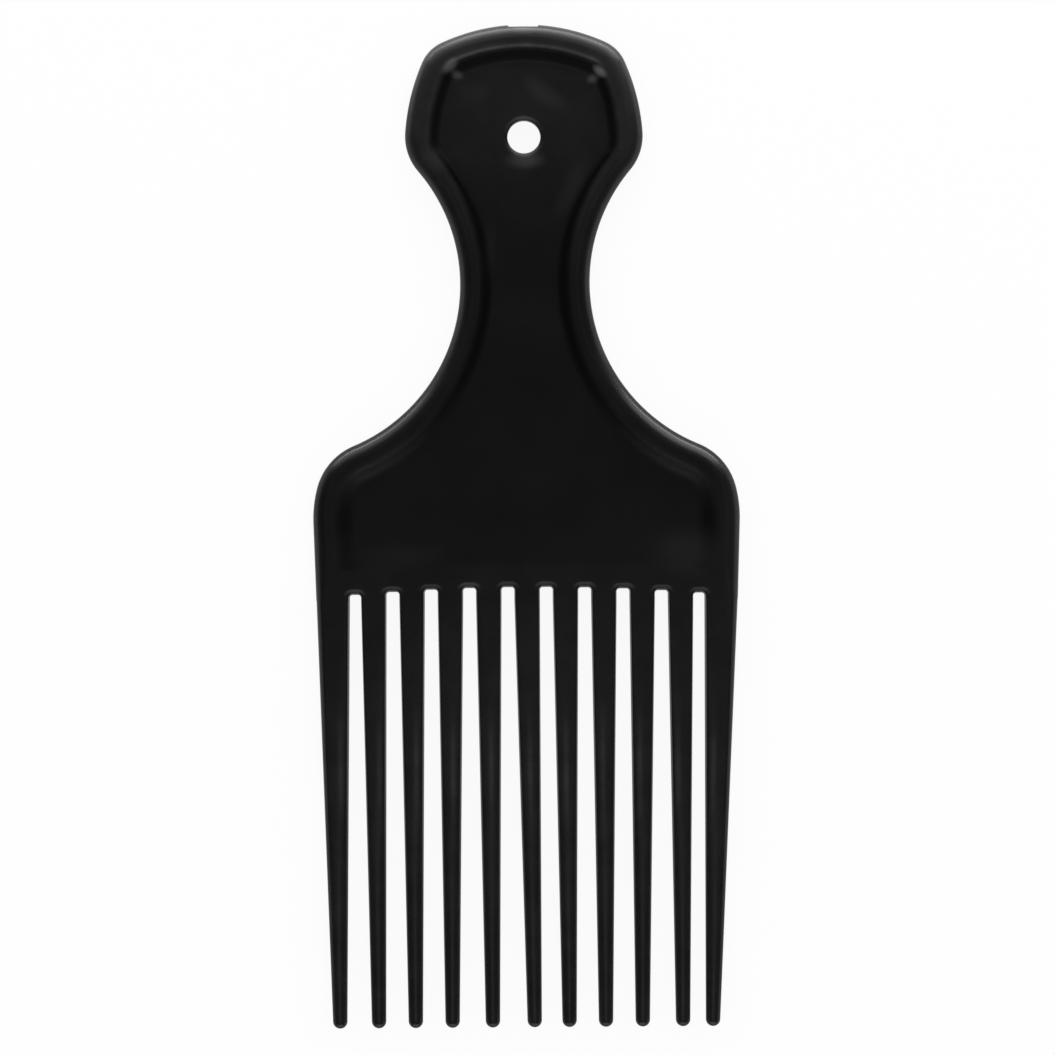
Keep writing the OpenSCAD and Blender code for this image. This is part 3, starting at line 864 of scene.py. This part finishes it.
class Net:
    """A short way to write a node tree."""

    def __init__(self, tree):
        self.tree = tree
        self.tree.nodes.clear()

    def node(self, kind, **sockets):
        made = self.tree.nodes.new("ShaderNode" + kind)
        for name, value in sockets.items():
            self.put(made, name, value)
        return made

    def put(self, node, name, value):
        socket = node.inputs[int(name[1:])] if name[0] == "i" and name[1:].isdigit() else node.inputs[name]
        if isinstance(value, bpy.types.NodeSocket):
            self.tree.links.new(value, socket)
        else:
            socket.default_value = value

    def math(self, operation, a, b=0.0, c=0.0):
        made = self.node("Math", i0=a, i1=b, i2=c)
        made.operation = operation
        return made.outputs[0]

    def step(self, value, start, end, low=0.0, high=1.0):
        """A smooth step from low to high while value goes from start to end."""
        made = self.node("MapRange", Value=value)
        made.interpolation_type = "SMOOTHSTEP"
        for name, number in (("From Min", start), ("From Max", end), ("To Min", low), ("To Max", high)):
            self.put(made, name, number)
        return made.outputs[0]

    def noise(self, place, scale, detail, rough):
        return self.node("TexNoise", Vector=place, Scale=scale, Detail=detail, Roughness=rough).outputs["Fac"]

    def blot(self, place, x, y, half_w, half_h, turn):
        """A soft oval of 1 at a spot of the pick's faces, 0 outside."""
        made = self.node("Mapping", Vector=place)
        made.vector_type = "TEXTURE"
        self.put(made, "Location", (x * MM, y * MM, 0))
        self.put(made, "Rotation", (0, 0, math.radians(turn)))
        self.put(made, "Scale", (half_w * MM, half_h * MM, 1))
        away = self.node("VectorMath", i0=made.outputs[0])
        away.operation = "LENGTH"
        return self.step(away.outputs["Value"], BLOT_CORE, BLOT_EDGE, 1.0, 0.0)


def ramp_stops(ramp, stops):
    """Sets a colour ramp's places and greys."""
    for place, grey in stops[1:-1]:
        ramp.elements.new(place)
    for stop, (place, grey) in zip(ramp.elements, stops):
        stop.position = place
        stop.color = (grey, grey, grey, 1)


def black_plastic():
    """Satin black plastic with a fine moulded grain, lighter where an attribute paints light and highlights,
    and with less sheen where another attribute paints the shade on the panel's walls.
    """
    material = bpy.data.materials.new("satin_black_plastic")
    material.use_nodes = True
    net = Net(material.node_tree)
    place = net.node("TexCoord").outputs["Object"]
    split = net.node("SeparateXYZ", Vector=place).outputs
    flow = net.step(net.noise(place, *FLOW_NOISE), NOISE_LOW, NOISE_HIGH, -ROUGH_FLOW, ROUGH_FLOW)
    head_from, head_to = (HOLE_Y + ROUGH_START) * MM, (HOLE_Y + ROUGH_END) * MM
    head = net.step(split["Y"], head_from, head_to, ROUGH_BODY, ROUGH_HEAD)
    rough = net.math("ADD", head, flow)
    patch_grey = 0.0
    # The patches add roughness and grey; the grey at the panel's upper corners and the head's lower left is
    # painted highlight
    for x, y, half_w, half_h, turn, duller, greyer in BLOTS:
        spot = net.blot(place, x, y, half_w, half_h, turn)
        rough = net.math("MULTIPLY_ADD", spot, duller, rough)
        patch_grey = net.math("MULTIPLY_ADD", spot, greyer, patch_grey)
    grain = net.noise(place, *GRAIN_NOISE)
    bump = net.node("Bump", Strength=GRAIN, Distance=GRAIN_H * MM, Height=grain).outputs[0]
    # Painted light: a grey that changes with height, times the painted light attribute and a cloud
    along = net.node("ValToRGB", Fac=net.math("MULTIPLY_ADD", split["Y"], 1 / (2 * TOP_Y * MM), 0.5))
    ramp_stops(along.color_ramp, [(0.5 + y / (2 * TOP_Y), grey) for y, grey in PAINTED_LIGHT_GREYS])
    painted_lighting = net.node("Attribute")
    painted_lighting.attribute_name = "painted_light"
    cloud = net.step(net.noise(place, *CLOUD_NOISE), NOISE_LOW, NOISE_HIGH, CLOUD_LOW, CLOUD_HIGH)
    grey = net.math("MULTIPLY", net.math("MULTIPLY", painted_lighting.outputs["Fac"], cloud), along.outputs["Color"])
    colour = net.node("VectorMath", i0=BASE, i1=net.math("ADD", grey, patch_grey))
    # Painted shade: this attribute takes sheen away on the panel's walls
    painted_shade = net.node("Attribute")
    painted_shade.attribute_name = "painted_shade"
    sheen = net.math("MULTIPLY_ADD", painted_shade.outputs["Fac"], -SHEEN, SHEEN)
    shader = net.node("BsdfPrincipled", Roughness=rough, Normal=bump, IOR=IOR)
    net.put(shader, "Base Color", colour.outputs[0])
    net.put(shader, "Specular IOR Level", sheen)
    net.node("OutputMaterial", Surface=shader.outputs[0])
    return material


def make_pick():
    plastic = black_plastic()
    pieces = [(make_handle(), "handle")]
    pieces += [(make_tooth(i), f"tooth_{i + 1:02d}") for i in range(TEETH)]
    for piece, node in pieces:
        piece.data.materials.append(plastic)
        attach(piece, "root")
        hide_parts(node)


def white_floor():
    """A white floor that keeps a faint shadow. For reflections it glows with painted light, bright towards
    the key, dim far off.
    """
    mesh = bpy.data.meshes.new("floor")
    half = FLOOR_HALF * MM
    corners = [(-half, -half, 0), (half, -half, 0), (half, half, 0), (-half, half, 0)]
    mesh.from_pydata(corners, [], [(0, 1, 2, 3)])
    floor = bpy.data.objects.new("floor", mesh)
    bpy.context.scene.collection.objects.link(floor)
    material = bpy.data.materials.new("white_floor")
    material.use_nodes = True
    net = Net(material.node_tree)
    place = net.node("TexCoord").outputs["Object"]
    split = net.node("SeparateXYZ", Vector=place).outputs
    away = net.node("VectorMath", i0=place)
    away.operation = "LENGTH"
    near = net.step(away.outputs["Value"], FLOOR_NEAR_END * MM, FLOOR_FAR_START * MM, FLOOR_NEAR, FLOOR_FAR)
    beyond = net.step(split["Y"], FLOOR_KEY_START * MM, FLOOR_KEY_FULL * MM, 0.0, FLOOR_KEY)
    seen = net.math("MAXIMUM", near, beyond)
    path = net.node("LightPath").outputs
    matt = net.node("BsdfDiffuse")
    matt.inputs["Color"].default_value = (FLOOR_GREY, FLOOR_GREY, FLOOR_GREY, 1)
    mirrored = net.node("Emission", Strength=seen)
    plain = net.node("Emission", Strength=1.0)
    for glow in (mirrored, plain):
        glow.inputs["Color"].default_value = (1, 1, 1, 1)
    shaded = net.node("MixShader", i0=path["Is Glossy Ray"], i1=matt.outputs[0], i2=mirrored.outputs[0])
    share = net.math("MULTIPLY", path["Is Camera Ray"], FLOOR_WHITE)
    blend = net.node("MixShader", i0=share, i1=shaded.outputs[0], i2=plain.outputs[0])
    net.node("OutputMaterial", Surface=blend.outputs[0])
    mesh.materials.append(material)


def light_world():
    """A dark studio with dim walls, white where the camera sees it."""
    world = bpy.data.worlds.new("studio")
    bpy.context.scene.world = world
    world.use_nodes = True
    net = Net(world.node_tree)
    split = net.node("SeparateXYZ", Vector=net.node("TexCoord").outputs["Generated"]).outputs
    ramp = net.node("ValToRGB", Fac=split["Z"])
    ramp_stops(ramp.color_ramp, ROOM)
    side = net.step(split["X"], -ROOM_SIDE_REACH, ROOM_SIDE_REACH, 1 - ROOM_SIDE, 1 + ROOM_SIDE)
    room = net.node("Background", Color=ramp.outputs["Color"], Strength=side)
    white = net.node("Background")
    white.inputs["Color"].default_value = (1, 1, 1, 1)
    soft = net.node("Background", Strength=ROOM_DIFFUSE)
    soft.inputs["Color"].default_value = (1, 1, 1, 1)
    path = net.node("LightPath").outputs
    lit = net.node("MixShader", i0=path["Is Diffuse Ray"], i1=room.outputs[0], i2=soft.outputs[0])
    blend = net.node("MixShader", i0=path["Is Camera Ray"], i1=lit.outputs[0], i2=white.outputs[0])
    net.node("OutputWorld", Surface=blend.outputs[0])


def softbox(name, place, target, size, glow):
    """A rectangular area light of a given radiance that looks at a target."""
    data = bpy.data.lights.new(name, "AREA")
    data.shape = "RECTANGLE"
    data.size, data.size_y = (side * MM for side in size)
    data.energy = glow * math.pi * data.size * data.size_y
    light = bpy.data.objects.new(name, data)
    light.location = Vector(place) * MM
    light.rotation_euler = (Vector(target) - Vector(place)).to_track_quat("-Z", "Y").to_euler()
    light.visible_camera = False
    bpy.context.scene.collection.objects.link(light)


def make_camera():
    """Straight above the pick, turned by the slight angle at which it lies in the picture."""
    data = bpy.data.cameras.new("camera")
    data.type = "PERSP"
    data.sensor_width = SENSOR_W
    data.lens = SENSOR_W / 2 / (VIEW_W / 2 / VIEW_FROM)
    camera = bpy.data.objects.new("camera", data)
    camera.matrix_world = (Matrix.Translation(Vector((VIEW_X, VIEW_Y, HALF_T + VIEW_FROM)) * MM)
                           @ Matrix.Rotation(math.radians(VIEW_TURN), 4, "Z"))
    bpy.context.scene.collection.objects.link(camera)
    bpy.context.scene.camera = camera


make_camera()
make_pick()
white_floor()
light_world()
for lamp in LAMPS:
    softbox(*lamp)
bpy.context.scene.view_settings.view_transform = "Standard"
